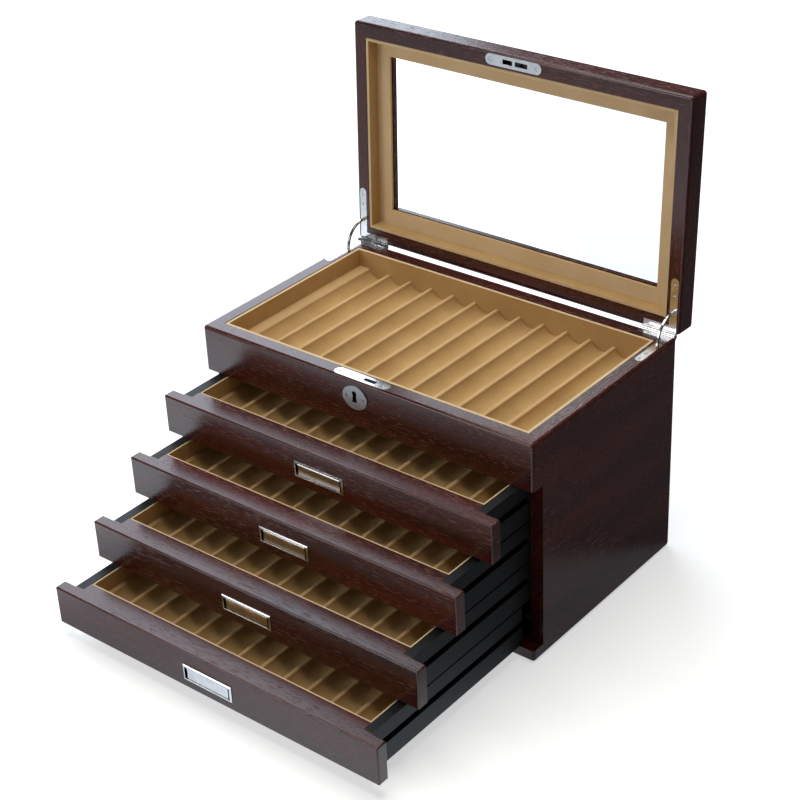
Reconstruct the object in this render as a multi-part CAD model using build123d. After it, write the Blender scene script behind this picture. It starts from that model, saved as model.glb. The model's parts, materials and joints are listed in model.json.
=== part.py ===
"""Pen collector chest: four pen drawers under a lidded pen tray with a glass window.

The frame: X to the right, Y to the back, Z up, millimetres.  The origin is the centre of
the underside of the case.  The pieces are written in the pose of a chest on show: the lid
stands open and the drawers are drawn out in steps, the bottom one the furthest.
"""
from build123d import *
import os
from math import asin, atan2, cos, degrees, radians, sin

# ---------------------------------------------------------------- driving dimensions
case_width = 340.0
case_depth = 204.0
wall = 13.0                # side boards, front and back rails, lid walls
base_thickness = 11.0
rail_height = 42.0         # the rails round the top tray
back_thickness = 5.0       # thin back let into the sides behind the drawers
back_rabbet = 6.0          # how far the thin back laps into each side
corner_round = 3.0         # upright outer corners of case and lid
edge_soften = 1.8          # their other outer edges
joint_gap = 0.3            # fitting gap between linings and boards

front_height = 35.55
front_gap = 2.2            # shadow gap between two drawer fronts
front_thickness = 20.0
ear_thickness = 11.0       # the rebated ends that lap over the case sides
notch_depth = 13.0         # set-back of the case sides behind the ears
drawer_side = 8.4          # thickness of drawer sides and back
drawer_side_gap = 0.6      # running gap beside a drawer
drawer_under_gap = 0.7     # how far the drawer box hangs below its front
drawer_back_gap = 1.0
drawer_bottom = 4.0
front_soften = 0.8
drawer_hold = 9.0          # what stays behind the case's front when a drawer is fully drawn
drawer_steps = [52.5, 98.0, 146.0]         # how far the drawers above the lowest are drawn

runner_drop = 13.0         # from a drawer's top edge down to its runner groove
runner_groove = 6.3
runner_groove_depth = 4.4
runner_gap = 0.2           # above and below a runner
runner_end_gap = 1.5

groove_pitch = 24.0
groove_depth = 8.0
groove_sides = 20          # of the many-sided bar that cuts a groove, as there are dozens of them
ridge_land = 3.6           # flat top between two grooves
tray_lining = 2.5          # suede-covered boards round the top tray and in the lid
tray_ridge_drop = 16.5     # from the case rim down to the ridges
tray_floor_thickness = 6.0
drawer_lining = 1.6
drawer_ridge_drop = 15.5
lining_drop = 0.5          # linings stop just below the rim

pull_length = 51.0
pull_height = 14.6
pull_border = 1.7
pull_proud = 1.4
pull_depth = 8.0           # depth of the sunk cup
pull_shell = 0.8
pull_drop = 19.6           # from the front's top edge to the centre of the pull
flap_thickness = 1.6
flap_end_gap = 2.2
flap_edge_gap = 0.35
flap_pin_radius = 0.7
flap_pin_sides = 8
flap_lip_soften = 0.3
flap_roll = 0.3            # how far the rolled top stands proud of the flap on each side
flap_hollow = 0.45
flap_swing = 85.0

lid_height = 22.0
lid_gap = 0.3              # between the closed lid and the rim
lid_border = 30.2          # outer edge of the lid to its window
lid_cover = 5.0            # wooden flange over the glass
glass_thickness = 2.5
glass_gap = 0.6
ledge_thickness = 2.2      # suede-covered frame that holds the glass up
lid_open = 92.5            # opening angle at the stop

plate_thickness = 1.5      # hinge leaves, lock plate and strike plate
pin_out = 1.4              # hinge pin behind the back face
pin_drop = 1.2             # and below the rim
pin_radius = 1.2
pin_gap = 0.05
pin_sides = 12             # pins are faceted, as they are small
barrel_radius = 2.9
barrel_gap = 0.25
barrel_wood_gap = 0.4      # between the barrel and the rebate it lies in
barrel_margin = 2.4        # barrel's outer end to the case's side
barrel_length = 31.6
lid_knuckle = 15.6
leaf_width = 7.2
leaf_length = 50.0
leaf_gap = 0.1
stay_radius = 21.0
stay_wide = 2.4
stay_thick = 1.6
stay_gap = 0.3
stay_head_wide = 3.6
stay_head_angle = 7.0
stay_slack_angle = 1.0

screw_head_radius = 2.2
screw_shank_radius = 1.0
screw_length = 6.5         # below the plate it holds
screw_gap = 0.05
screw_head_sides = 12      # heads and shanks are faceted, as they are small
screw_shank_sides = 6
heel_screw = 10.7          # from the back face to the case leaf's first screw
case_tip_screws = [3.7, 13.8]              # from the long leg's tip
lid_tip_screws = [5.6, 15.2]
short_leg_screw = 5.0      # from the short leg's end

plate_length = 56.0
plate_width = 9.6
plate_screw_x = 23.5
bolt_slot = (1.9, 13.9)    # slot in the lock plate
bolt_slot_width = 4.0
strike_holes = [(-10.6, -0.8), (1.8, 14.3)]
lock_x = -3.0              # key and hook axis
lock_drop = 11.6
lock_box_left = -21.2
lock_box_right = 19.0
lock_box_height = 20.0
lock_box_thickness = 8.0
lock_box_shell = 1.0
hook_inner = 14.4
hook_outer = 17.2
hook_thickness = 2.6
hook_hub = 3.4
hook_post = 1.5
hook_arm = 3.2             # width of the arm between hub and ring
hook_start = -24.0         # tail and nose of the hook's ring, drawn back
hook_nose = 33.0
hook_swing = 54.0
hook_room = 1.2            # clear room round the thrown hook in the lid

plaque_width = 25.4        # oval key escutcheon
plaque_height = 21.6
plaque_thickness = 1.2
plaque_drop = 15.5
plaque_pin_x = 8.5
plaque_pin_radius = 1.7
plaque_pin_height = 0.8
plaque_pin_taper = 35.0
key_round = 2.3            # keyhole: round top and skirt
key_skirt_top = 1.5
key_skirt_bottom = 2.6
key_skirt_length = 8.4

# ---------------------------------------------------------------- places worked out
half_width = case_width / 2
front_y = -case_depth / 2
back_y = case_depth / 2
inner_x = half_width - wall
drawer_pitch = front_height + front_gap
drawer_travel = case_depth - drawer_hold
drawer_out = drawer_steps + [drawer_travel]
drawer_count = len(drawer_out)
opening_top = base_thickness + drawer_count * drawer_pitch
rim_z = opening_top + rail_height

box_x = inner_x - drawer_side_gap                  # outside of a drawer's sides
tray_x = box_x - drawer_side                       # inside of a drawer's sides
drawer_end = back_y - back_thickness - drawer_back_gap
drawer_inner_front = front_y + front_thickness

pin_y = back_y + pin_out
pin_z = rim_z - pin_drop
hinge_axis = Axis((0, pin_y, pin_z), (1, 0, 0))
leaf_x = half_width - wall / 2
barrel_outer_x = half_width - barrel_margin
barrel_inner_x = barrel_outer_x - barrel_length
lid_z = rim_z + lid_gap
lid_top = lid_z + lid_height


# ---------------------------------------------------------------- helpers
def block(x0, x1, y0, y1, z0, z1):
    """A board between two corners."""
    return Pos((x0 + x1) / 2, (y0 + y1) / 2, (z0 + z1) / 2) * Box(x1 - x0, y1 - y0, z1 - z0)


def cross_rod(x0, x1, y, z, radius):
    """A round bar along X."""
    return Pos((x0 + x1) / 2, y, z) * Rot(0, 90, 0) * Cylinder(radius, x1 - x0)


def cross_prism(x0, x1, y, z, radius, sides, corners_on=True):
    """A many-sided bar along X, with its corners on the radius or else its flats."""
    outline = Plane.YZ * RegularPolygon(radius, sides, major_radius=corners_on)
    return Pos(x0, y, z) * extrude(outline, x1 - x0)


def prism_up(points, z0, z1):
    """An outline in XY carried up from z0 to z1."""
    face = make_face(Polyline(points, close=True))
    return extrude(Pos(0, 0, z0) * face, z1 - z0)


def mirrored(shape):
    return mirror(shape, about=Plane.YZ)


def swung_open(shape):
    """From the closed place of the lid to where it stands open."""
    return shape.rotate(hinge_axis, -lid_open)


def drawn(shape, k):
    """Drawer k from its closed place to where it stands."""
    return Pos(0, -drawer_out[k], 0) * shape


def solids_of(shapes):
    return [solid for shape in shapes for solid in shape.solids()]


def save(name, *shapes):
    export_step(Compound(children=solids_of(shapes)), os.path.join("parts", name + ".step"))


def softened(board, corner, edge):
    """Rounds the upright corners and takes the arris off the edges round top and bottom."""
    board = fillet(board.edges().filter_by(Axis.Z), corner)
    levels = board.edges().group_by(Axis.Z)
    return chamfer(levels[0] + levels[-1], edge)


def screw(x, y, z, up=1, grow=0.0):
    """A countersunk screw with its head flush at level z; grown a hair, it is the hole for one."""
    slope = degrees(atan2(screw_head_radius - screw_shank_radius, plate_thickness))
    head = extrude(RegularPolygon(screw_head_radius + grow, screw_head_sides), plate_thickness, taper=slope)
    shank = extrude(RegularPolygon(screw_shank_radius + grow, screw_shank_sides),
                    plate_thickness + screw_length + grow)
    turn = Rot(180, 0, 0) if up > 0 else Rot(0, 0, 0)
    return Pos(x, y, z) * turn * (head + shank)


def screw_hole(x, y, z, up=1):
    return screw(x, y, z, up, screw_gap)


def ring_walls(x, y0, y1, z0, z1, thick):
    """Four boards that line a rectangular well; side pieces run between front and back."""
    front = block(-x, x, y0, y0 + thick, z0, z1)
    back = block(-x, x, y1 - thick, y1, z0, z1)
    left = block(-x, -x + thick, y0 + thick, y1 - thick, z0, z1)
    right = block(x - thick, x, y0 + thick, y1 - thick, z0, z1)
    return [front, back, left, right]


def scalloped_bed(x, y0, y1, z0, ridge_z):
    """A bed with one rounded groove per pen, running front to back."""
    reach = (groove_pitch - ridge_land) / 2
    radius = (reach ** 2 + groove_depth ** 2) / (2 * groove_depth)
    outline = RegularPolygon(radius, groove_sides, major_radius=False, rotation=180 / groove_sides)
    cutter = Rot(90, 0, 0) * extrude(outline, (y1 - y0) / 2 + 1, both=True)
    bed = block(-x, x, y0, y1, z0, ridge_z)
    count = int(2 * x // groove_pitch)
    first = -(count - 1) * groove_pitch / 2
    for n in range(count):
        bed -= Pos(first + n * groove_pitch, (y0 + y1) / 2, ridge_z - groove_depth + radius) * cutter
    return bed


# ---------------------------------------------------------------- hinge parts, right side, closed
def leaf_outline(grow):
    """L-shaped leaf seen from above: a long leg on the side rim, a short one on the back."""
    half = leaf_width / 2 + grow
    tip_y = back_y - leaf_length + leaf_width / 2
    leg = Pos(leaf_x, (tip_y + back_y) / 2) * Rectangle(2 * half, back_y - tip_y)
    tip = Pos(leaf_x, tip_y) * Circle(half)
    short_x0 = barrel_inner_x - grow
    short_x1 = leaf_x + half
    short_y0 = back_y - leaf_width - grow
    short = Pos((short_x0 + short_x1) / 2, (short_y0 + back_y) / 2) * Rectangle(
        short_x1 - short_x0, back_y - short_y0)
    return leg + tip + short


def case_screw_places():
    """Where the screws of the case leaf sit, as X and Y."""
    reaches = [heel_screw] + [leaf_length - tip for tip in case_tip_screws]
    return [(leaf_x, back_y - reach) for reach in reaches] + [short_leg_screw_place()]


def lid_screw_places():
    reaches = [leaf_length - tip for tip in lid_tip_screws]
    return [(leaf_x, back_y - reach) for reach in reaches] + [short_leg_screw_place()]


def short_leg_screw_place():
    return barrel_inner_x + short_leg_screw, back_y - leaf_width / 2


def knuckle_spans():
    """X ranges of the barrel's knuckles: case, lid, case."""
    middle = (barrel_inner_x + barrel_outer_x) / 2
    lid_span = (middle - lid_knuckle / 2, middle + lid_knuckle / 2)
    return [(barrel_inner_x, lid_span[0] - barrel_gap), lid_span,
            (lid_span[1] + barrel_gap, barrel_outer_x)]


def arc_bar(low, high, wide, thick):
    """Part of a ring round the hinge pin; angles run up from the front of the pin."""
    profile = Pos(leaf_x, pin_y - stay_radius, pin_z) * Rectangle(thick, wide)
    bar = revolve(profile, axis=hinge_axis, revolution_arc=high - low)
    return bar.rotate(hinge_axis, -high)


def angle_of(height):
    """Where the stay passes a level, as an angle round the pin."""
    return degrees(asin(height / stay_radius))


case_leaf_top = pin_drop
case_leaf_under = pin_drop - plate_thickness
lid_leaf_under = pin_drop + lid_gap
lid_leaf_top = lid_leaf_under + plate_thickness
stay_low = angle_of(case_leaf_under) - stay_slack_angle - stay_head_angle
stay_high = angle_of(lid_leaf_top) + lid_open + stay_slack_angle + stay_head_angle


def pin_hole():
    """The bore of the barrel, through both leaves."""
    return cross_prism(barrel_inner_x - 1, barrel_outer_x + 1, pin_y, pin_z, pin_radius + pin_gap,
                       pin_sides, corners_on=False)


def barrel_room():
    """The rebate across the joint of case and lid that the barrel lies in."""
    reach = barrel_radius + barrel_wood_gap
    return block(barrel_inner_x - barrel_gap, barrel_outer_x + barrel_gap,
                 pin_y - reach, back_y + pin_out, pin_z - reach, pin_z + reach)


def case_leaf():
    case_left, lid_middle, case_right = knuckle_spans()
    plate = extrude(Pos(0, 0, rim_z - plate_thickness) * leaf_outline(0), plate_thickness)
    for x0, x1 in (case_left, case_right):
        strap = block(x0, min(x1, leaf_x + leaf_width / 2), back_y - pin_out, pin_y,
                      rim_z - plate_thickness, rim_z)
        plate += strap + cross_rod(x0, x1, pin_y, pin_z, barrel_radius)
    plate -= cross_rod(lid_middle[0] - barrel_gap, lid_middle[1] + barrel_gap, pin_y, pin_z,
                       barrel_radius + barrel_gap)
    plate -= pin_hole()
    plate -= arc_bar(angle_of(case_leaf_under) - stay_slack_angle, 2 * stay_head_angle,
                     stay_wide + 2 * stay_gap, stay_thick + 2 * stay_gap)
    for x, y in case_screw_places():
        plate -= screw_hole(x, y, rim_z)
    return plate


def lid_leaf():
    case_left, lid_middle, case_right = knuckle_spans()
    plate = extrude(Pos(0, 0, lid_z) * leaf_outline(0), plate_thickness)
    strap = block(lid_middle[0], lid_middle[1], pin_y - pin_out - barrel_gap, pin_y,
                  pin_z + pin_radius, lid_z + plate_thickness)
    plate += strap + cross_rod(lid_middle[0], lid_middle[1], pin_y, pin_z, barrel_radius)
    for x0, x1 in (case_left, case_right):
        plate -= cross_rod(x0 - barrel_gap, x1 + barrel_gap, pin_y, pin_z, barrel_radius + barrel_gap / 2)
    plate -= pin_hole()
    plate -= arc_bar(0, 3 * stay_head_angle, stay_wide + 2 * stay_gap, stay_thick + 2 * stay_gap)
    for x, y in lid_screw_places():
        plate -= screw_hole(x, y, lid_z, up=-1)
    return plate


def stay():
    """The loose quadrant that limits the lid: it slides in both leaves and rests at its heads."""
    bar = arc_bar(stay_low, stay_high, stay_wide, stay_thick)
    low_head = arc_bar(stay_low, stay_low + stay_head_angle, stay_head_wide, stay_thick)
    high_head = arc_bar(stay_high - stay_head_angle, stay_high, stay_head_wide, stay_thick)
    return bar + low_head + high_head


def case_hinge_room():
    """What is cut from the case for one hinge."""
    leaf_room = extrude(Pos(0, 0, rim_z - plate_thickness) * leaf_outline(leaf_gap), 2 * plate_thickness)
    room = leaf_room + barrel_room()
    for x, y in case_screw_places():
        room += screw_hole(x, y, rim_z)
    low = stay_low - lid_open / 2 - stay_slack_angle
    return room + arc_bar(low, angle_of(case_leaf_top), stay_head_wide + 2 * stay_gap,
                          stay_thick + 2 * stay_gap)


def lid_hinge_room():
    """What is cut from the closed lid for one hinge."""
    leaf_room = extrude(Pos(0, 0, lid_z - plate_thickness) * leaf_outline(leaf_gap), 2 * plate_thickness)
    room = leaf_room + barrel_room()
    for x, y in lid_screw_places():
        room += screw_hole(x, y, lid_z, up=-1)
    high = stay_high - lid_open / 2 + stay_slack_angle
    return room + arc_bar(0, high, stay_head_wide + 2 * stay_gap, stay_thick + 2 * stay_gap)


# ---------------------------------------------------------------- lock
plate_y = front_y + wall / 2
lock_z = rim_z - lock_drop
lock_front = plate_y - lock_box_thickness / 2
lock_back = plate_y + lock_box_thickness / 2
lock_top = rim_z - plate_thickness


def slot_plate(z):
    """The round-ended plate of lock and strike, underside at z."""
    return extrude(Pos(0, plate_y, z) * SlotOverall(plate_length, plate_width), plate_thickness)


def keyhole(y0, y1):
    """A keyhole through everything from y0 to y1."""
    round_top = Pos(lock_x, (y0 + y1) / 2, lock_z) * Rot(90, 0, 0) * Cylinder(key_round, y1 - y0)
    skirt_points = [(lock_x - key_skirt_top, lock_z), (lock_x + key_skirt_top, lock_z),
                    (lock_x + key_skirt_bottom, lock_z - key_skirt_length),
                    (lock_x - key_skirt_bottom, lock_z - key_skirt_length)]
    outline = make_face(Polyline([(x, 0, z) for x, z in skirt_points], close=True))
    skirt = extrude(Pos(0, y0, 0) * outline, y1 - y0, dir=(0, 1, 0))
    return round_top + skirt


def slot_cut(span, z0, z1):
    return block(span[0], span[1], plate_y - bolt_slot_width / 2, plate_y + bolt_slot_width / 2, z0, z1)


def lock_plate():
    plate = slot_plate(lock_top) - slot_cut(bolt_slot, lock_top - 1, rim_z + 1)
    for x in (-plate_screw_x, plate_screw_x):
        plate -= screw_hole(x, plate_y, rim_z)
    return plate


def lock_box():
    """The lock's flat case, open at the top under the slot, with the post of the hook."""
    bottom = lock_top - lock_box_height
    shell = block(lock_box_left, lock_box_right, lock_front, lock_back, bottom, lock_top)
    shell -= block(lock_box_left + lock_box_shell, lock_box_right - lock_box_shell,
                   lock_front + lock_box_shell, lock_back - lock_box_shell,
                   bottom + lock_box_shell, lock_top - lock_box_shell)
    shell -= slot_cut(bolt_slot, lock_top - 2 * lock_box_shell, lock_top + 1)
    shell -= keyhole(lock_front - 1, plate_y)
    post = Pos(lock_x, (plate_y + lock_back) / 2, lock_z) * Rot(90, 0, 0) * Cylinder(
        hook_post, lock_back - plate_y)
    return shell + post


def lock_hook():
    """Ring-shaped hook on its hub, drawn back below the slot."""
    ring = Cylinder(hook_outer, hook_thickness) - Cylinder(hook_inner, hook_thickness)
    far = 2 * hook_outer
    span = hook_nose - hook_start
    points = [(0, 0)]
    for n in range(4):
        angle = radians(hook_start + span * n / 3)
        points.append((far * cos(angle), far * sin(angle)))
    sector = extrude(make_face(Polyline(points, close=True)), hook_thickness / 2, both=True)
    reach = (hook_inner + hook_outer) / 2
    arm = Rot(0, 0, hook_start / 2) * Pos(reach / 2, 0, 0) * Box(reach, hook_arm, hook_thickness)
    body = (ring & sector) + arm + Cylinder(hook_hub, hook_thickness)
    body -= Cylinder(hook_post + pin_gap, 2 * hook_thickness)
    return Pos(lock_x, plate_y, lock_z) * Rot(90, 0, 0) * body


def lock_room():
    """What is cut from the front rail for the lock, its plate, screws and key."""
    bottom = lock_top - lock_box_height
    room = block(lock_box_left, lock_box_right, lock_front, lock_back, bottom, rim_z)
    room += slot_plate(lock_top)
    room += keyhole(front_y - 1, plate_y)
    for x in (-plate_screw_x, plate_screw_x):
        room += screw_hole(x, plate_y, rim_z)
    return room


def strike_plate():
    plate = slot_plate(lid_z)
    for span in strike_holes:
        plate -= slot_cut(span, lid_z - 1, lid_z + plate_thickness + 1)
    for x in (-plate_screw_x, plate_screw_x):
        plate -= screw_hole(x, plate_y, lid_z, up=-1)
    return plate


def strike_room():
    """What is cut from the lid's front wall for the strike plate and the thrown hook."""
    room = slot_plate(lid_z - plate_thickness) + slot_plate(lid_z)
    top = lock_z + hook_outer + hook_room
    room += slot_cut((strike_holes[0][0], strike_holes[1][1]), lid_z, top)
    for x in (-plate_screw_x, plate_screw_x):
        room += screw_hole(x, plate_y, lid_z, up=-1)
    return room


def escutcheon():
    """Oval keyhole plate with a softened front edge."""
    z = rim_z - plaque_drop
    oval = Rot(90, 0, 0) * extrude(Ellipse(plaque_width / 2, plaque_height / 2), plaque_thickness)
    oval = chamfer(oval.edges().group_by(Axis.Y)[0], plaque_thickness / 3)
    return Pos(lock_x, front_y, z) * oval - keyhole(front_y - 3, front_y + 1)


def escutcheon_pins():
    """Two low-domed brads that hold the plate."""
    head = extrude(RegularPolygon(plaque_pin_radius, screw_head_sides), plaque_pin_height,
                   taper=plaque_pin_taper)
    place = Pos(lock_x, front_y - plaque_thickness, rim_z - plaque_drop)
    return [place * Pos(x, 0, 0) * Rot(90, 0, 0) * head for x in (-plaque_pin_x, plaque_pin_x)]


# ---------------------------------------------------------------- case
case_envelope = softened(block(-half_width, half_width, front_y, back_y, 0, rim_z),
                         corner_round, edge_soften)


def front_trapezoid(z0, z1):
    """A front rail with mitred ends."""
    return prism_up([(-half_width, front_y), (half_width, front_y),
                     (inner_x, front_y + wall), (-inner_x, front_y + wall)], z0, z1)


def side_panel():
    """The right side: full depth at rim and base, set back between them for the drawer fronts."""
    panel = block(inner_x, half_width, front_y, back_y, 0, rim_z)
    panel -= block(inner_x, half_width, front_y, front_y + notch_depth, base_thickness, opening_top)
    panel -= front_trapezoid(0, base_thickness)
    panel -= front_trapezoid(opening_top, rim_z)
    panel -= block(inner_x, inner_x + back_rabbet, back_y - back_thickness, back_y, 0, opening_top)
    return (panel & case_envelope) - case_hinge_room()


def runner(k, x0, x1):
    """One wooden runner in the groove of drawer k."""
    top = front_top(k) - runner_drop
    return block(x0, x1, front_y + notch_depth, back_y - back_thickness - runner_end_gap,
                 top - runner_groove + runner_gap, top - runner_gap)


def front_top(k):
    """Top edge of drawer k; k counts down from the top drawer."""
    return opening_top - front_gap / 2 - k * drawer_pitch


def make_case():
    side = side_panel()
    save("side_panel_right", side)
    save("side_panel_left", mirrored(side))
    front = front_trapezoid(opening_top, rim_z) & case_envelope
    save("front_rail", front - lock_room())
    save("plinth_rail", front_trapezoid(0, base_thickness) & case_envelope)
    rail = block(-inner_x, inner_x, back_y - wall, back_y, opening_top, rim_z) & case_envelope
    rail -= case_hinge_room()
    save("back_rail", rail - mirrored(case_hinge_room()))
    back = block(-inner_x - back_rabbet, inner_x + back_rabbet, back_y - back_thickness, back_y,
                 0, opening_top)
    save("back_panel", back & case_envelope)
    save("base_panel", block(-inner_x, inner_x, front_y + wall, back_y - back_thickness,
                             0, base_thickness))
    save("tray_floor", block(-inner_x, inner_x, front_y + wall, back_y - wall,
                             opening_top, opening_top + tray_floor_thickness))
    runners = []
    runner_x = box_x - runner_groove_depth + runner_gap
    for k in range(drawer_count):
        runners += [runner(k, runner_x, inner_x), runner(k, -inner_x, -runner_x)]
    save("drawer_runners", *runners)


def make_top_tray():
    floor = opening_top + tray_floor_thickness
    x = inner_x - joint_gap
    y0, y1 = front_y + wall + joint_gap, back_y - wall - joint_gap
    save("top_tray_lining", *ring_walls(x, y0, y1, floor, rim_z - lining_drop, tray_lining))
    save("top_tray_bed", scalloped_bed(x - tray_lining, y0 + tray_lining, y1 - tray_lining,
                                       floor, rim_z - tray_ridge_drop))


# ---------------------------------------------------------------- drawers
def pull_opening():
    """Half sizes of the hole inside the pull's border."""
    return pull_length / 2 - pull_border, pull_height / 2 - pull_border


def pull_frame(z):
    """A chamfered border with a shallow cup behind it, sunk into the drawer front."""
    x, h = pull_opening()
    border = block(-pull_length / 2, pull_length / 2, front_y - pull_proud, front_y,
                   z - pull_height / 2, z + pull_height / 2)
    border = chamfer(border.edges().group_by(Axis.Y)[0], pull_proud / 2)
    cup = block(-x - pull_shell, x + pull_shell, front_y, front_y + pull_depth,
                z - h - pull_shell, z + h + pull_shell)
    frame = border + cup
    frame -= block(-x, x, front_y - 2 * pull_proud, front_y + pull_depth - pull_shell, z - h, z + h)
    return frame - flap_socket(z)


def flap_pivot(z):
    """Pivot line of the flap, just under the top of the border."""
    h = pull_opening()[1]
    return front_y + flap_thickness / 4, z + h - flap_thickness / 2 - flap_edge_gap - flap_roll


def flap_pin(z):
    """The flap's pivot, ending in the frame's cheeks."""
    x = pull_opening()[0] + pull_shell / 2
    y, pivot_z = flap_pivot(z)
    return cross_prism(-x, x, y, pivot_z, flap_pin_radius, flap_pin_sides)


def flap_socket(z):
    """Square pockets in the cheeks that the pivot turns in."""
    x = pull_opening()[0] + pull_shell / 2 + pin_gap
    y, pivot_z = flap_pivot(z)
    r = flap_pin_radius + pin_gap
    return block(-x, x, y - r, y + r, pivot_z - r, pivot_z + r)


def pull_flap(z):
    """The finger flap: a rolled top round the pivot, a hollow face and a lip to lift it by."""
    x, h = pull_opening()
    half = x - flap_end_gap
    y, top = flap_pivot(z)
    foot = z - h + flap_edge_gap
    face_y = y - flap_thickness * 0.75
    roll = cross_rod(-half, half, y, top, flap_thickness / 2 + flap_roll)
    plate = block(-half, half, face_y, face_y + flap_thickness, foot, top)
    scoop_radius = 3 * (top - foot)
    scoop = cross_rod(-half - 1, half + 1, face_y - scoop_radius + flap_hollow, (top + foot) / 2,
                      scoop_radius)
    plate = chamfer(plate.edges().filter_by(Axis.X).group_by(Axis.Z)[0], flap_lip_soften)
    return plate - scoop + roll + flap_pin(z)


def drawer_front(top):
    """One thick board whose rebated ends lap over the case sides."""
    bottom = top - front_height
    lap_y = front_y + ear_thickness
    front = chamfer(block(-half_width, half_width, front_y, lap_y, bottom, top).edges(), front_soften)
    # Behind its softened face the board stays square, where the sides and the tray meet it.
    square_y = lap_y - 2 * front_soften
    front += block(-box_x, box_x, square_y, lap_y, bottom, top)
    front += block(-tray_x, tray_x, square_y, drawer_inner_front, bottom, top)
    x, h = pull_opening()
    z = top - pull_drop
    return front - block(-x - pull_shell, x + pull_shell, front_y - 1, front_y + pull_depth,
                         z - h - pull_shell, z + h + pull_shell)


def drawer_carcass(top):
    """Two grooved sides and the back."""
    bottom = top - front_height - drawer_under_gap
    groove_top = top - runner_drop
    side = block(tray_x, box_x, front_y + ear_thickness, drawer_end, bottom, top)
    side -= block(box_x - runner_groove_depth, box_x, front_y + ear_thickness, drawer_end,
                  groove_top - runner_groove, groove_top)
    back = block(-tray_x, tray_x, drawer_end - drawer_side, drawer_end, bottom, top)
    return [side, mirrored(side), back]


def make_drawer(k):
    top = front_top(k)
    bottom = top - front_height - drawer_under_gap
    tag = "_" + str(k + 1)
    y0, y1 = drawer_inner_front, drawer_end - drawer_side
    floor = bottom + drawer_bottom
    lining = ring_walls(tray_x, y0, y1, floor, top - lining_drop, drawer_lining)
    bed = scalloped_bed(tray_x - drawer_lining, y0 + drawer_lining, y1 - drawer_lining,
                        floor, top - drawer_ridge_drop)
    z = top - pull_drop
    save("drawer_front" + tag, drawn(drawer_front(top), k))
    save("drawer_carcass" + tag, *[drawn(board, k) for board in drawer_carcass(top)])
    save("drawer_bottom" + tag, drawn(block(-tray_x, tray_x, y0, y1, bottom, floor), k))
    save("drawer_bed" + tag, drawn(bed, k))
    save("drawer_lining" + tag, *[drawn(board, k) for board in lining])
    save("pull_frame" + tag, drawn(pull_frame(z), k))
    save("pull_flap" + tag, drawn(pull_flap(z), k))


# ---------------------------------------------------------------- lid
def lid_ring():
    """The lid's whole wooden frame: walls below and a flange over the glass."""
    ring = block(-half_width, half_width, front_y, back_y, lid_z, lid_top)
    ring = softened(ring, corner_round, edge_soften)
    window_x, window_y = half_width - lid_border, back_y - lid_border
    ring -= block(-inner_x, inner_x, front_y + wall, back_y - wall, lid_z, lid_top - lid_cover)
    ring -= block(-window_x, window_x, -window_y, window_y, lid_z, lid_top)
    room = lid_hinge_room()
    return ring - room - mirrored(room) - strike_room()


def make_lid():
    ring = lid_ring()
    near_x, near_y = half_width - lid_border, back_y - lid_border
    front = [(-half_width, front_y), (half_width, front_y), (near_x, -near_y), (-near_x, -near_y)]
    right = [(half_width, front_y), (half_width, back_y), (near_x, near_y), (near_x, -near_y)]
    back = [(x, -y) for x, y in front]
    left = [(-x, y) for x, y in right]
    for name, corners in (("lid_front_rail", front), ("lid_side_right", right),
                          ("lid_back_rail", back), ("lid_side_left", left)):
        save(name, swung_open(ring & prism_up(corners, lid_z - 1, lid_top + 1)))
    glass_top = lid_top - lid_cover
    glass_under = glass_top - glass_thickness
    x, y = inner_x - glass_gap, back_y - wall - glass_gap
    save("lid_glass", swung_open(block(-x, x, -y, y, glass_under, glass_top)))
    ledge_under = glass_under - ledge_thickness
    x, y = inner_x - joint_gap, back_y - wall - joint_gap
    ledge = block(-x, x, -y, y, ledge_under, glass_under)
    ledge -= block(-near_x, near_x, -near_y, near_y, ledge_under, glass_under)
    save("glass_ledge", swung_open(ledge))
    lining = ring_walls(x, -y, y, lid_z + lining_drop, ledge_under, tray_lining)
    save("lid_lining", *[swung_open(board) for board in lining])


def make_hinges():
    save("hinge_case_leaves", case_leaf(), mirrored(case_leaf()))
    save("hinge_lid_leaves", swung_open(lid_leaf()), swung_open(mirrored(lid_leaf())))
    pin = cross_prism(barrel_inner_x, barrel_outer_x, pin_y, pin_z, pin_radius, pin_sides)
    save("hinge_pins", pin, mirrored(pin))
    save("hinge_stay_right", stay())
    save("hinge_stay_left", mirrored(stay()))


def make_lock():
    save("lock_box", lock_box())
    save("lock_plate", lock_plate())
    save("lock_hook", lock_hook())
    save("escutcheon", escutcheon())
    save("escutcheon_pins", *escutcheon_pins())
    save("strike_plate", swung_open(strike_plate()))


def make_screws():
    """All the screws of hinges, lock and strike."""
    case_places = case_screw_places() + [(plate_screw_x, plate_y)]
    case_screws = [screw(x, y, rim_z) for x, y in case_places]
    save("case_screws", *case_screws, *[mirrored(one) for one in case_screws])
    lid_places = lid_screw_places() + [(plate_screw_x, plate_y)]
    lid_screws = [swung_open(screw(x, y, lid_z, up=-1)) for x, y in lid_places]
    save("lid_screws", *lid_screws, *[mirrored(one) for one in lid_screws])


os.makedirs("parts", exist_ok=True)
make_case()
make_top_tray()
for number in range(drawer_count):
    make_drawer(number)
make_lid()
make_hinges()
make_lock()
make_screws()
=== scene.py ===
import json
import math

import bmesh
import bpy
from mathutils import Matrix, Vector

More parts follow.
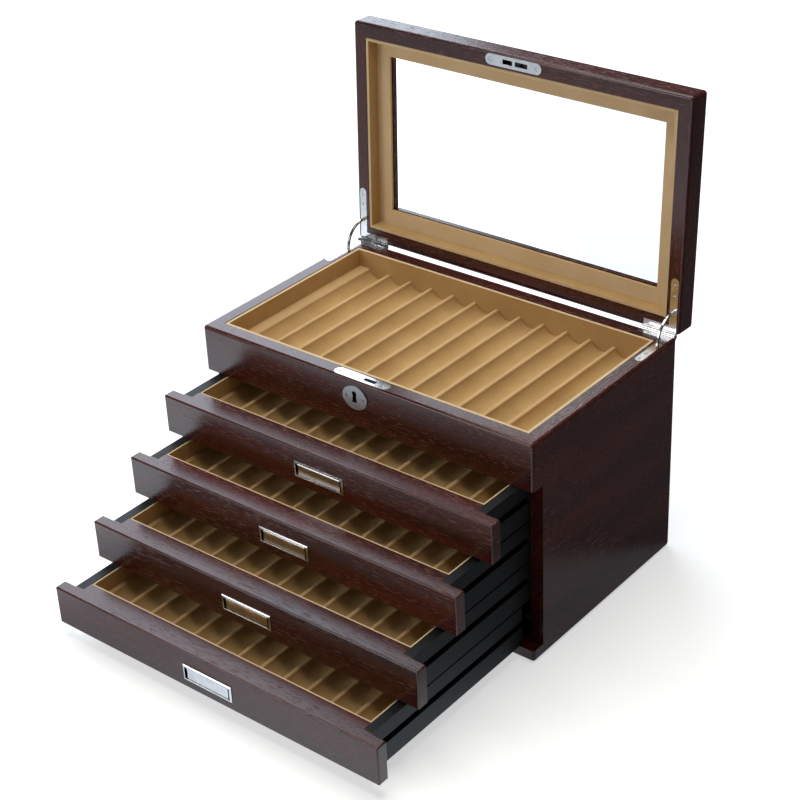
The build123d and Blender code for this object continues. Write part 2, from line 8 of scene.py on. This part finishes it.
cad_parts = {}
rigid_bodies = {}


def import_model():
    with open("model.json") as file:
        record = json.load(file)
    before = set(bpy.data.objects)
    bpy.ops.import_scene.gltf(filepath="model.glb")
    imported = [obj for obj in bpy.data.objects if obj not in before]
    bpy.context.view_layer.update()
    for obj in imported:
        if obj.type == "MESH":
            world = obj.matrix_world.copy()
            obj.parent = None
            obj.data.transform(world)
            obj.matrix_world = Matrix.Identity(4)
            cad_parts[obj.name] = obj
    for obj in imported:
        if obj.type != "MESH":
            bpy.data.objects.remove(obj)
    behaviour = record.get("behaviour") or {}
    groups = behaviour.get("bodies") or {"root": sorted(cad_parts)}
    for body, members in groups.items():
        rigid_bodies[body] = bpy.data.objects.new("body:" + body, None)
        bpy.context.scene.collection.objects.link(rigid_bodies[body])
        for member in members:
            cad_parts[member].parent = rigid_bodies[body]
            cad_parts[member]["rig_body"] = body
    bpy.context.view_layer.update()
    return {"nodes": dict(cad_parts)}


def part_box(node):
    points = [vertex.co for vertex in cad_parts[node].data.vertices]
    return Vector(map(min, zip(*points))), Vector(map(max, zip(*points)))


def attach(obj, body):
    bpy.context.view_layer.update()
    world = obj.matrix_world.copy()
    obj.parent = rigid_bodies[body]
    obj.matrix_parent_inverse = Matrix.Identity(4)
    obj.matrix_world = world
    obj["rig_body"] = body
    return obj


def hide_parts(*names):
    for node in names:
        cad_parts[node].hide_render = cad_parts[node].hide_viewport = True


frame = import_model()
nodes = frame["nodes"]
scene = bpy.context.scene
scene.view_settings.view_transform = "Standard"

# ---------------------------------------------------------------- camera and studio
# The chest stands in a dim room that is white to the eye. A tall soft window stands at its back
# left, a broad soft lamp hangs over it and a weak one fills from the front left.
VIEW_AZIMUTH = math.radians(39.937)
VIEW_ELEVATION = math.radians(30.214)
VIEW_ROLL = math.radians(-2.69)
VIEW_DISTANCE = 1.539504
VIEW_TARGET = Vector((-0.000537, -0.049518, 0.161688))
FOCAL_PIXELS = 1867.836
PICTURE_PIXELS = 800
SENSOR_WIDTH = 36.0
NEAREST_SEEN = 0.05
ROOM_TINT = (0.92, 0.95, 1.0)
ROOM_STRENGTH = 0.10
WHITE = (1, 1, 1)

sin_a, cos_a = math.sin(VIEW_AZIMUTH), math.cos(VIEW_AZIMUTH)
sin_e, cos_e = math.sin(VIEW_ELEVATION), math.cos(VIEW_ELEVATION)
sin_r, cos_r = math.sin(VIEW_ROLL), math.cos(VIEW_ROLL)
back = Vector((sin_a * cos_e, -cos_a * cos_e, sin_e))
level = Vector((cos_a, sin_a, 0))
upright = back.cross(level)
right = cos_r * level + sin_r * upright
up = cos_r * upright - sin_r * level
camera_data = bpy.data.cameras.new("camera")
camera_data.sensor_width = SENSOR_WIDTH
camera_data.lens = FOCAL_PIXELS / PICTURE_PIXELS * SENSOR_WIDTH
camera_data.clip_start = NEAREST_SEEN
camera = bpy.data.objects.new("camera", camera_data)
scene.collection.objects.link(camera)
placing = Matrix((right, up, back)).transposed().to_4x4()
placing.translation = VIEW_TARGET + VIEW_DISTANCE * back
camera.matrix_world = placing
scene.camera = camera


def soft_lamp(name, place, aim, size, power, tint=WHITE):
    """A square area lamp that stands at a place and looks at its aim."""
    data = bpy.data.lights.new(name, "AREA")
    data.shape = "RECTANGLE"
    data.size = data.size_y = size
    data.energy = power
    data.color = tint
    lamp = bpy.data.objects.new(name, data)
    scene.collection.objects.link(lamp)
    lamp.location = place
    lamp.rotation_euler = (Vector(aim) - Vector(place)).to_track_quat("-Z", "Y").to_euler()


def feed(tree, socket, value):
    """Links a socket's value in, or sets a plain number, vector or three-part color."""
    if isinstance(value, bpy.types.NodeSocket):
        tree.links.new(value, socket)
    elif socket.type == "RGBA":
        socket.default_value = (*value, 1)
    else:
        socket.default_value = value


def fed(tree, kind, *values, operation=None):
    """A new node whose sockets take the values in order. Gives its outputs."""
    node = tree.nodes.new(kind)
    if operation:
        node.operation = operation
    for socket, value in zip(node.inputs, values):
        feed(tree, socket, value)
    return node.outputs


def calc(tree, operation, *values, kind="ShaderNodeMath"):
    """The number that a math node works out."""
    return fed(tree, kind, *values, operation=operation)["Value"]


soft_lamp("lamp_window", (-2.50, 1.38, 1.25), (0, 0, 0.15), 2.7, 76, (0.78, 0.88, 1.0))
soft_lamp("lamp_top", (-0.15, 0.0, 1.75), (0, -0.05, 0.1), 1.2, 18, (1.0, 0.985, 0.94))
soft_lamp("lamp_front", (-1.0, -1.9, 1.1), (0, 0, 0.15), 1.0, 11)

scene.world = bpy.data.worlds.new("studio")
scene.world.use_nodes = True
tree = scene.world.node_tree
tree.nodes.clear()
rays = fed(tree, "ShaderNodeLightPath")
seen = calc(tree, "MAXIMUM", rays["Is Camera Ray"], rays["Is Transmission Ray"])
room = fed(tree, "ShaderNodeBackground", ROOM_TINT, ROOM_STRENGTH)[0]
bright = fed(tree, "ShaderNodeBackground", WHITE, 1.0)[0]
fed(tree, "ShaderNodeOutputWorld", fed(tree, "ShaderNodeMixShader", seen, room, bright)[0])

# ---------------------------------------------------------------- floor
# The pale matt floor that the chest stands on, white to the eye and in the glass. In polished
# surfaces it shows a painted reflection: a darker copy of the floor with painted glowing bands,
# bright towards the front left and dim behind the chest, painted as if lit from one side.
FLOOR_SIZE = 12
FLOOR_GAP = 0.0004
FLOOR_PALE = (0.80, 0.80, 0.80)
FLOOR_PAINTED_SHADE = (0.13, 0.13, 0.14)
GLASS_GLOW = 1.9
NEAR_GLOW, FAR_GLOW = 0.55, 1.0
NEAR, FAR = 0.5, 2.2
PAINTED_REFLECTION_WAY = (-0.75, -0.66, 0)
PAINTED_REFLECTION_FROM, PAINTED_REFLECTION_TO = -0.2, 0.8
PAINTED_REFLECTION_TINT = (0.82, 0.91, 1.0)
PAINTED_REFLECTION_GLOW = 2.1
PAINTED_REFLECTION_ENDS = ((0.0, 0.0), (1.0, 0.30))
PAINTED_REFLECTION_POINTS = ((0.02, 0.10), (0.10, 0.10), (0.24, 0.55), (0.36, 0.55), (0.54, 0.38),
                (0.62, 0.90), (0.73, 0.95), (0.84, 0.42))


def mix_color(tree, factor, first, second):
    node = tree.nodes.new("ShaderNodeMix")
    node.data_type = "RGBA"
    for socket, value in ((0, factor), (6, first), (7, second)):
        feed(tree, node.inputs[socket], value)
    return node.outputs[2]


def level_of(tree, value, low, high, to_low=0.0, to_high=1.0):
    """A value carried from one span to another and held inside it."""
    return fed(tree, "ShaderNodeMapRange", value, low, high, to_low, to_high)[0]


bpy.ops.mesh.primitive_plane_add(size=FLOOR_SIZE, location=(0, 0, -FLOOR_GAP))
floor = bpy.context.object
floor.name = "floor"
floor_finish = bpy.data.materials.new("pale_floor")
floor_finish.use_nodes = True
tree = floor_finish.node_tree
tree.nodes.clear()
rays = fed(tree, "ShaderNodeLightPath")
shiny = rays["Is Glossy Ray"]
place = fed(tree, "ShaderNodeTexCoord")["Object"]
distance = calc(tree, "LENGTH", place, kind="ShaderNodeVectorMath")
plain = calc(tree, "MULTIPLY_ADD", rays["Is Transmission Ray"], GLASS_GLOW, rays["Is Camera Ray"])
whiter = level_of(tree, distance, NEAR, FAR, NEAR_GLOW, FAR_GLOW)
# Painted reflection: for glossy rays the floor glows in bands along one direction, bright at the
# front left and dim behind the chest.
along = calc(tree, "DOT_PRODUCT", place, PAINTED_REFLECTION_WAY, kind="ShaderNodeVectorMath")
painted_reflection = tree.nodes.new("ShaderNodeFloatCurve")
curve = painted_reflection.mapping.curves[0]
for k, end in enumerate(PAINTED_REFLECTION_ENDS):
    curve.points[k].location = end
for point in PAINTED_REFLECTION_POINTS:
    curve.points.new(*point)
painted_reflection.mapping.update()
feed(tree, painted_reflection.inputs["Value"], level_of(tree, along, PAINTED_REFLECTION_FROM, PAINTED_REFLECTION_TO))
painted_reflection_glow = calc(tree, "MULTIPLY", painted_reflection.outputs[0], PAINTED_REFLECTION_GLOW)
strength = calc(tree, "ADD", calc(tree, "MULTIPLY", plain, whiter),
                calc(tree, "MULTIPLY", painted_reflection_glow, shiny))
glow = fed(tree, "ShaderNodeEmission", mix_color(tree, shiny, WHITE, PAINTED_REFLECTION_TINT), strength)[0]
# For glossy rays the floor is a darker copy: painted shade in what polished surfaces reflect.
pale = fed(tree, "ShaderNodeBsdfDiffuse", FLOOR_PALE)[0]
painted_shade_floor = fed(tree, "ShaderNodeBsdfDiffuse", FLOOR_PAINTED_SHADE)[0]
matt = fed(tree, "ShaderNodeMixShader", shiny, pale, painted_shade_floor)[0]
fed(tree, "ShaderNodeOutputMaterial", fed(tree, "ShaderNodeAddShader", matt, glow)[0])
floor.data.materials.append(floor_finish)

# ---------------------------------------------------------------- case boards
# Side panels, rails, plinth, back and base: reddish-brown hardwood with open pores under a satin
# lacquer. Their softened edges are rounded over, and the rails are mitred to the sides.
LACQUER_DARK = (0.027, 0.0038, 0.0024)
LACQUER_WARM = (0.082, 0.0110, 0.0062)
LACQUER_PORE = (0.150, 0.036, 0.023)
LACQUER_ROUGHNESS = 0.22
LACQUER_GLOSS = 0.56
WOOD_IOR = 1.5
FIGURE_SCALE = (14.0, 1.6)
PORE_SCALE = (430.0, 44.0)
PORE_DULLER = 0.22
PORE_DEPTH = 0.00025
BUMP_STRENGTH = 0.35
JOIN_DISTANCE = 0.000002
FLAT_ANGLE = 1
BOARD_SMOOTH = 32
EDGE_ROUND = 0.00115
EDGE_STEPS = 4


def shader_of(name):
    """A new material with its node tree and main shader."""
    finish = bpy.data.materials.new(name)
    finish.use_nodes = True
    tree = finish.node_tree
    return finish, tree, tree.nodes["Principled BSDF"]


def object_pattern(tree, scale=(1, 1, 1)):
    """Object coordinates through a mapping."""
    mapping = tree.nodes.new("ShaderNodeMapping")
    feed(tree, mapping.inputs["Scale"], scale)
    feed(tree, mapping.inputs["Vector"], fed(tree, "ShaderNodeTexCoord")["Object"])
    return mapping.outputs["Vector"]


def along_grain(grain_axis, across, along):
    """A pattern scale that is drawn out along one axis."""
    return tuple(along if axis == grain_axis else across for axis in "XYZ")


def noise(tree, vector, scale, detail, rough, distortion=0.0):
    node = tree.nodes.new("ShaderNodeTexNoise")
    for socket, value in (("Vector", vector), ("Scale", scale), ("Detail", detail),
                          ("Roughness", rough), ("Distortion", distortion)):
        feed(tree, node.inputs[socket], value)
    return node.outputs["Fac"]


def ramp(tree, value, *stops):
    """A color ramp of two stops, each a place and a color."""
    node = tree.nodes.new("ShaderNodeValToRGB")
    for element, (place, color) in zip(node.color_ramp.elements, stops):
        element.position = place
        element.color = (*color, 1)
    feed(tree, node.inputs["Fac"], value)
    return node.outputs["Color"]


def bump(tree, shader, height, distance):
    node = tree.nodes.new("ShaderNodeBump")
    for socket, value in (("Strength", BUMP_STRENGTH), ("Distance", distance), ("Height", height)):
        feed(tree, node.inputs[socket], value)
    feed(tree, shader.inputs["Normal"], node.outputs["Normal"])


def wood(name, grain_axis, painted_shade_floor, warm, pore, roughness, gloss):
    """Open-pore wood with its grain along one axis. A pore is paler than the stain and dull."""
    finish, tree, shader = shader_of(name)
    broad = object_pattern(tree, along_grain(grain_axis, *FIGURE_SCALE))
    fine = object_pattern(tree, along_grain(grain_axis, *PORE_SCALE))
    figure = noise(tree, broad, scale=2.4, detail=4.0, rough=0.55, distortion=0.5)
    patches = noise(tree, broad, scale=5.0, detail=2.0, rough=0.5)
    pores = noise(tree, fine, scale=2.3, detail=2.0, rough=0.55, distortion=0.15)
    pitted = calc(tree, "MULTIPLY", level_of(tree, pores, 0.56, 0.69),
                  level_of(tree, patches, 0.38, 0.64, to_low=0.20))
    tone = ramp(tree, figure, (0.30, painted_shade_floor), (0.70, warm))
    dull = level_of(tree, pitted, 0.0, 1.0, roughness, roughness + PORE_DULLER)
    feed(tree, shader.inputs["Base Color"], mix_color(tree, pitted, tone, pore))
    feed(tree, shader.inputs["Roughness"], dull)
    shader.inputs["Specular IOR Level"].default_value = gloss
    shader.inputs["IOR"].default_value = WOOD_IOR
    bump(tree, shader, pitted, -PORE_DEPTH)
    return finish


def take_up(piece):
    """Makes a piece the active object and the only selected one."""
    bpy.ops.object.select_all(action="DESELECT")
    bpy.context.view_layer.objects.active = piece
    piece.select_set(True)


def joined_copy(name):
    """A copy of a solid with its triangles joined into whole faces. It stands for the solid."""
    piece = bpy.data.objects.new(name + "_finished", nodes[name].data.copy())
    scene.collection.objects.link(piece)
    take_up(piece)
    piece.data.materials.clear()
    if piece.data.has_custom_normals:
        bpy.ops.mesh.customdata_custom_splitnormals_clear()
    bpy.ops.object.mode_set(mode="EDIT")
    bpy.ops.mesh.select_mode(type="EDGE")
    bpy.ops.mesh.select_all(action="SELECT")
    bpy.ops.mesh.mark_sharp(clear=True)
    bpy.ops.mesh.remove_doubles(threshold=JOIN_DISTANCE)
    bpy.ops.mesh.dissolve_limited(angle_limit=math.radians(FLAT_ANGLE))
    bpy.ops.object.mode_set(mode="OBJECT")
    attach(piece, nodes[name]["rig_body"])
    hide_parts(name)
    return piece


def turning(low, high=360, longer_than=0.0):
    """A test for outer edges by the turn between their faces, in degrees, and their length."""
    def wanted(edge):
        turn = math.degrees(edge.calc_face_angle_signed(0.0))
        return low < turn < high and edge.calc_length() > longer_than
    return wanted


def round_edges(piece, wanted, width, steps, clamp=False):
    """Rounds over the edges of the joined mesh that pass the test."""
    take_up(piece)
    bpy.ops.object.mode_set(mode="EDIT")
    bpy.ops.mesh.select_mode(type="EDGE")
    bpy.ops.mesh.select_all(action="DESELECT")
    mesh = bmesh.from_edit_mesh(piece.data)
    picked = [edge for edge in mesh.edges if len(edge.link_faces) == 2 and wanted(edge)]
    for edge in picked:
        edge.select_set(True)
    mesh.select_flush_mode()
    bmesh.update_edit_mesh(piece.data)
    if picked:
        bpy.ops.mesh.bevel(offset_type="OFFSET", offset=width, segments=steps, profile=0.5,
                           affect="EDGES", clamp_overlap=clamp)
    bpy.ops.object.mode_set(mode="OBJECT")


def smooth(piece, angle=BOARD_SMOOTH):
    """Smooth shading over rounded edges, flat boards kept flat."""
    take_up(piece)
    bpy.ops.object.shade_smooth_by_angle(angle=math.radians(angle))
    weighing = piece.modifiers.new("weighing", "WEIGHTED_NORMAL")
    weighing.keep_sharp = True
    bpy.ops.object.modifier_apply(modifier=weighing.name)


lacquer = {axis: wood("lacquered_wood_" + axis.lower(), axis, LACQUER_DARK, LACQUER_WARM,
                      LACQUER_PORE, LACQUER_ROUGHNESS, LACQUER_GLOSS) for axis in "XYZ"}


def lacquered_board(name, grain_axis, width=EDGE_ROUND, steps=EDGE_STEPS, angle=BOARD_SMOOTH):
    """A board whose narrow bevelled arrises are rounded over where they meet its faces."""
    board = joined_copy(name)
    round_edges(board, turning(40, 50), width, steps)
    board.data.materials.append(lacquer[grain_axis])
    smooth(board, angle)


for name, axis in (("side_panel_left", "Y"), ("side_panel_right", "Y"), ("front_rail", "X"),
                   ("plinth_rail", "X"), ("back_rail", "X"), ("back_panel", "X"),
                   ("base_panel", "X")):
    lacquered_board(name, axis)

# ---------------------------------------------------------------- runners and tray floor
# Eight wooden runners screwed inside the case sides, and the thin board that closes the case over
# the drawers. Plain wood stained nearly black.
STAIN_DARK = (0.006, 0.0065, 0.008)
STAIN_WARM = (0.012, 0.013, 0.015)
STAIN_PORE = (0.024, 0.025, 0.026)
STAIN_ROUGHNESS = 0.5
STAIN_GLOSS = 0.25
RUNNER_ROUND = 0.0004
RUNNER_STEPS = 2

stained = wood("stained_wood", "Y", STAIN_DARK, STAIN_WARM, STAIN_PORE, STAIN_ROUGHNESS,
               STAIN_GLOSS)
for name in ("drawer_runners", "tray_floor"):
    board = joined_copy(name)
    round_edges(board, turning(80, longer_than=0.008), RUNNER_ROUND, RUNNER_STEPS, clamp=True)
    board.data.materials.append(stained)
    smooth(board)

# ---------------------------------------------------------------- top tray
# A scalloped board and four lining boards, all covered in tan suede cloth. The upward-facing ridge
# tops are paler, partly rubbed cloth and partly a painted highlight, and the cloth shows a pale
# cut edge along the top of the lining.
SUEDE_ROUGHNESS = 0.95
SUEDE_GLOSS = 0.1
SHEEN = 0.15
SHEEN_TINT = (1.0, 0.85, 0.62)
NAP_HEIGHT = 0.0002
RIDGE_ROUND = 0.0011
RIDGE_STEPS = 5
RIDGE_SMOOTH = 25
RUBBED_LIT_TOP_DEPTH = 0.0009
RUBBED_LIT_TOP_SLOPE = 0.82
BLACK = (0, 0, 0)


def suede(name, low, high, fibre):
    """Short-napped cloth: soft clouds where the nap lies differently, and single pale fibres."""
    finish, tree, shader = shader_of(name)
    cloud = noise(tree, object_pattern(tree), scale=26.0, detail=4.0, rough=0.6)
    nap = noise(tree, object_pattern(tree), scale=2400.0, detail=2.0, rough=0.6)
    tone = ramp(tree, cloud, (0.3, low), (0.7, high))
    speck = ramp(tree, nap, (0.45, BLACK), (0.75, WHITE))
    paler = mix_color(tree, 0.5, tone, fibre)
    feed(tree, shader.inputs["Base Color"], mix_color(tree, speck, tone, paler))
    shader.inputs["Roughness"].default_value = SUEDE_ROUGHNESS
    shader.inputs["Specular IOR Level"].default_value = SUEDE_GLOSS
    shader.inputs["Sheen Weight"].default_value = SHEEN
    shader.inputs["Sheen Tint"].default_value = (*SHEEN_TINT, 1)
    bump(tree, shader, nap, NAP_HEIGHT)
    return finish


tan = suede("tan_suede", (0.46, 0.275, 0.105), (0.57, 0.360, 0.150), (0.70, 0.50, 0.26))
rubbed_lit_suede = suede("rubbed_suede_painted_highlight", (0.56, 0.345, 0.155), (0.66, 0.43, 0.21), (0.78, 0.56, 0.32))
cut_edge = suede("cut_suede_edge", (0.70, 0.50, 0.27), (0.80, 0.60, 0.36), (0.88, 0.70, 0.46))


def suede_bed(name):
    """A scalloped bed with rounded ridges. Their upward-facing tops show paler cloth, partly
    rubbed and partly a painted highlight.
    """
    bed = joined_copy(name)
    low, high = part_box(name)
    round_edges(bed, turning(60, 80), RIDGE_ROUND, RIDGE_STEPS)
    bed.data.materials.append(tan)
    bed.data.materials.append(rubbed_lit_suede)
    # Upward-facing faces near the top get the paler cloth: partly real wear, partly a painted
    # highlight.
    for face in bed.data.polygons:
        if face.normal.z > RUBBED_LIT_TOP_SLOPE and face.center.z > high.z - RUBBED_LIT_TOP_DEPTH:
            face.material_index = 1
    smooth(bed, RIDGE_SMOOTH)


def suede_boards(name, towards, facing=0.6):
    """Thin lining boards. Faces that look towards that way show the cut edge of the cloth."""
    boards = joined_copy(name)
    boards.data.materials.append(tan)
    boards.data.materials.append(cut_edge)
    for face in boards.data.polygons:
        if face.normal.dot(towards) > facing:
            face.material_index = 1


up_way = Vector((0, 0, 1))
suede_bed("top_tray_bed")
suede_boards("top_tray_lining", up_way)

# ---------------------------------------------------------------- lock
# A cut lock let into the front rail: nickel plate on the rim with two countersunk screws, steel
# case behind it, a swinging hook, and an oval keyhole plate held by two domed brads.
SMEAR_ROUGHER = 1.5
METAL_SMOOTH = 38
METAL_STEPS = 2
METAL_SHORTEST = 0.0008
METAL_BREAK = 0.00018


def nickel(name, low, high, roughness):
    """Metal with faint smears of polishing."""
    finish, tree, shader = shader_of(name)
    smear = noise(tree, object_pattern(tree), scale=160.0, detail=3.0, rough=0.6)
    rougher = level_of(tree, smear, 0.3, 0.7, roughness, roughness * SMEAR_ROUGHER)
    feed(tree, shader.inputs["Base Color"], ramp(tree, smear, (0.3, low), (0.7, high)))
    feed(tree, shader.inputs["Roughness"], rougher)
    shader.inputs["Metallic"].default_value = 1.0
    return finish


polished = nickel("polished_nickel", (0.60, 0.60, 0.61), (0.74, 0.74, 0.74), 0.12)
satin = nickel("satin_nickel", (0.34, 0.35, 0.38), (0.42, 0.43, 0.46), 0.32)
steel = nickel("lock_steel", (0.30, 0.30, 0.31), (0.40, 0.40, 0.41), 0.35)
screw_metal = nickel("screw_nickel", (0.55, 0.55, 0.56), (0.70, 0.70, 0.70), 0.2)


def metal_piece(name, finish, width=METAL_BREAK):
    """A metal part whose sharp outer edges are just broken, so that they catch the light."""
    part = joined_copy(name)
    round_edges(part, turning(75, 100, METAL_SHORTEST), width, METAL_STEPS, clamp=True)
    part.data.materials.append(finish)
    smooth(part, METAL_SMOOTH)


metal_piece("lock_plate", polished)
metal_piece("lock_box", steel)
metal_piece("lock_hook", steel)
metal_piece("escutcheon", satin, 0.00012)
metal_piece("escutcheon_pins", polished, 0.0001)

# ---------------------------------------------------------------- hinges
# Two nickel quadrant hinges let into the rims by countersunk screws: knuckled leaves on a pin,
# and a loose curved stay with a head at each end. It slides in both leaves and stops the lid just
# past upright.
SCREW_SMOOTH = 30
RECESS_TURNS = (45, 135)
RECESS_LENGTH, RECESS_WIDTH, RECESS_DEPTH = 1.15, 0.30, 0.5

for name in ("hinge_case_leaves", "hinge_lid_leaves", "hinge_pins", "hinge_stay_left",
             "hinge_stay_right"):
    metal_piece(name, polished)


def separate_screws(data):
    """The corners of each screw in a mesh that holds several."""
    mesh = bmesh.new()
    mesh.from_mesh(data)
    left, screws = set(mesh.verts), []
    for first in mesh.verts:
        if first not in left:
            continue
        left.discard(first)
        reached, corners = [first], []
        while reached:
            vert = reached.pop()
            corners.append(vert.co.copy())
            for edge in vert.link_edges:
                other = edge.other_vert(vert)
                if other in left:
                    left.discard(other)
                    reached.append(other)
        screws.append(corners)
    mesh.free()
    return screws


def recess_bars(corners, inwards):
    """Two crossed bars as wide as a cross recess, centred on the top of a screw's head."""
    middle = sum(corners, Vector()) / len(corners)
    top = min(corners, key=lambda p: p.dot(inwards))
    reach = max((p - middle - inwards * (p - middle).dot(inwards)).length for p in corners)
    for turn in RECESS_TURNS:
        bpy.ops.mesh.primitive_cube_add(
            size=1, location=middle + inwards * (top - middle).dot(inwards))
        bar = bpy.context.object
        along = Matrix.Rotation(math.radians(turn), 3, inwards) @ inwards.orthogonal().normalized()
        facing = Matrix((along, inwards.cross(along), inwards)).transposed().to_4x4()
        bar.data.transform(Matrix.Diagonal(
            (reach * RECESS_LENGTH, reach * RECESS_WIDTH, reach * RECESS_DEPTH, 1)))
        bar.data.transform(facing)
        yield bar


def cross_slots(name, inwards):
    """Screws with a cross recess sunk into each head."""
    screws = joined_copy(name)
    bars = [bar for corners in separate_screws(screws.data)
            for bar in recess_bars(corners, inwards)]
    for bar in bars:
        bar.select_set(True)
    bpy.ops.object.transform_apply(location=True, rotation=True, scale=True)
    take_up(screws)
    for bar in bars:
        cut = screws.modifiers.new("recess", "BOOLEAN")
        cut.operation = "DIFFERENCE"
        cut.solver = "EXACT"
        cut.object = bar
    for cut in list(screws.modifiers):
        bpy.ops.object.modifier_apply(modifier=cut.name)
    for bar in bars:
        bpy.data.objects.remove(bar)
    screws.data.materials.append(screw_metal)
    smooth(screws, SCREW_SMOOTH)


cross_slots("case_screws", -up_way)

# ---------------------------------------------------------------- lid
# Four mitred rails with a wall below and a flange over the glass, a suede-covered ledge that holds
# the pane up, four lining boards, and the strike plate that the lock's hook catches.
LID_OPEN = math.radians(92.5)
GLASS_IOR = 1.22
LEDGE_FACING = 0.3
lid_down = Vector((0, -math.sin(LID_OPEN), math.cos(LID_OPEN)))

for name, axis in (("lid_front_rail", "X"), ("lid_back_rail", "X"), ("lid_side_left", "Z"),
                   ("lid_side_right", "Z")):
    lacquered_board(name, axis)

suede_boards("lid_lining", lid_down)
suede_boards("glass_ledge", lid_down, LEDGE_FACING)
metal_piece("strike_plate", polished)
cross_slots("lid_screws", -lid_down)

glass, tree, shader = shader_of("clear_glass")
shader.inputs["Transmission Weight"].default_value = 1.0
shader.inputs["Roughness"].default_value = 0.0
shader.inputs["IOR"].default_value = GLASS_IOR
tint = noise(tree, object_pattern(tree), scale=3.0, detail=1.0, rough=0.5)
feed(tree, shader.inputs["Base Color"],
     ramp(tree, tint, (0.0, (0.975, 0.985, 0.98)), (1.0, (0.985, 0.992, 0.99))))
nodes["lid_glass"].data.materials.clear()
nodes["lid_glass"].data.materials.append(glass)

# ---------------------------------------------------------------- drawers
# Four alike, each on two runners: a thick lacquered front with rebated ends, grooved sides and
# back stained nearly black, a thin bottom let into them, and a scalloped bed and lining boards in
# the same suede as the tray.
FRONT_ROUND = 0.0005
FRONT_STEPS = 3
FRONT_SMOOTH = 40

for k in range(1, 5):
    lacquered_board(f"drawer_front_{k}", "X", FRONT_ROUND, FRONT_STEPS, FRONT_SMOOTH)
    for name in (f"drawer_carcass_{k}", f"drawer_bottom_{k}"):
        board = joined_copy(name)
        board.data.materials.append(stained)
        smooth(board)
    suede_bed(f"drawer_bed_{k}")
    suede_boards(f"drawer_lining_{k}", up_way)

# ---------------------------------------------------------------- drawer pulls
# Sunk nickel pulls: a chamfered border with a shallow cup behind it, and a flap with a rolled top
# that hangs on two pivots in the cup's ends.
FRAME_BREAK = 0.00015
FLAP_BREAK = 0.00012

for k in range(1, 5):
    metal_piece(f"pull_frame_{k}", polished, FRAME_BREAK)
    metal_piece(f"pull_flap_{k}", polished, FLAP_BREAK)
